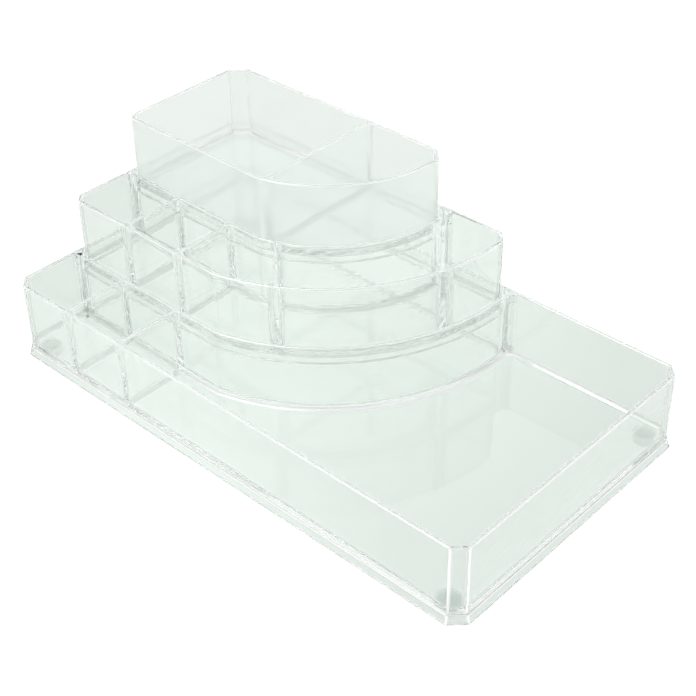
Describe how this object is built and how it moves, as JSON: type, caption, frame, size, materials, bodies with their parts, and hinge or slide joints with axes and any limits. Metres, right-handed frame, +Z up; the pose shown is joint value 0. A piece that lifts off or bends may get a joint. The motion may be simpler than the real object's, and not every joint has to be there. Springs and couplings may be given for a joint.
{
  "type": "vanity organizer",
  "caption": "Clear stepped vanity organizer: a long divided base tray with a quarter-round middle tray and a small top tray nested in pockets at its back left corner.",
  "frame": {"origin": "centre of the footprint at the surface that the feet stand on", "axes": "+X along the long side to the right, +Y from the open front strip to the back wall, +Z up"},
  "size_m": [0.3048, 0.1718, 0.112],
  "materials": {
    "clear_plastic": "polished clear injection-moulded plastic with a pale green edge tint",
    "clear_rubber": "soft clear bumper, slightly cloudy"
  },
  "bodies": {
    "base": {"base_tray": "clear_plastic", "foot_front_left": "clear_rubber", "foot_front_right": "clear_rubber", "foot_back_left": "clear_rubber", "foot_back_right": "clear_rubber"},
    "middle": {"middle_tray": "clear_plastic"},
    "top": {"top_tray": "clear_plastic"}
  },
  "joints": [
    {"name": "middle_lift", "type": "slide", "parent": "base", "child": "middle", "axis": [0, 0, 1], "range_m": [0, 0.06]},
    {"name": "top_lift", "type": "slide", "parent": "middle", "child": "top", "axis": [0, 0, 1], "range_m": [0, 0.06]}
  ]
}
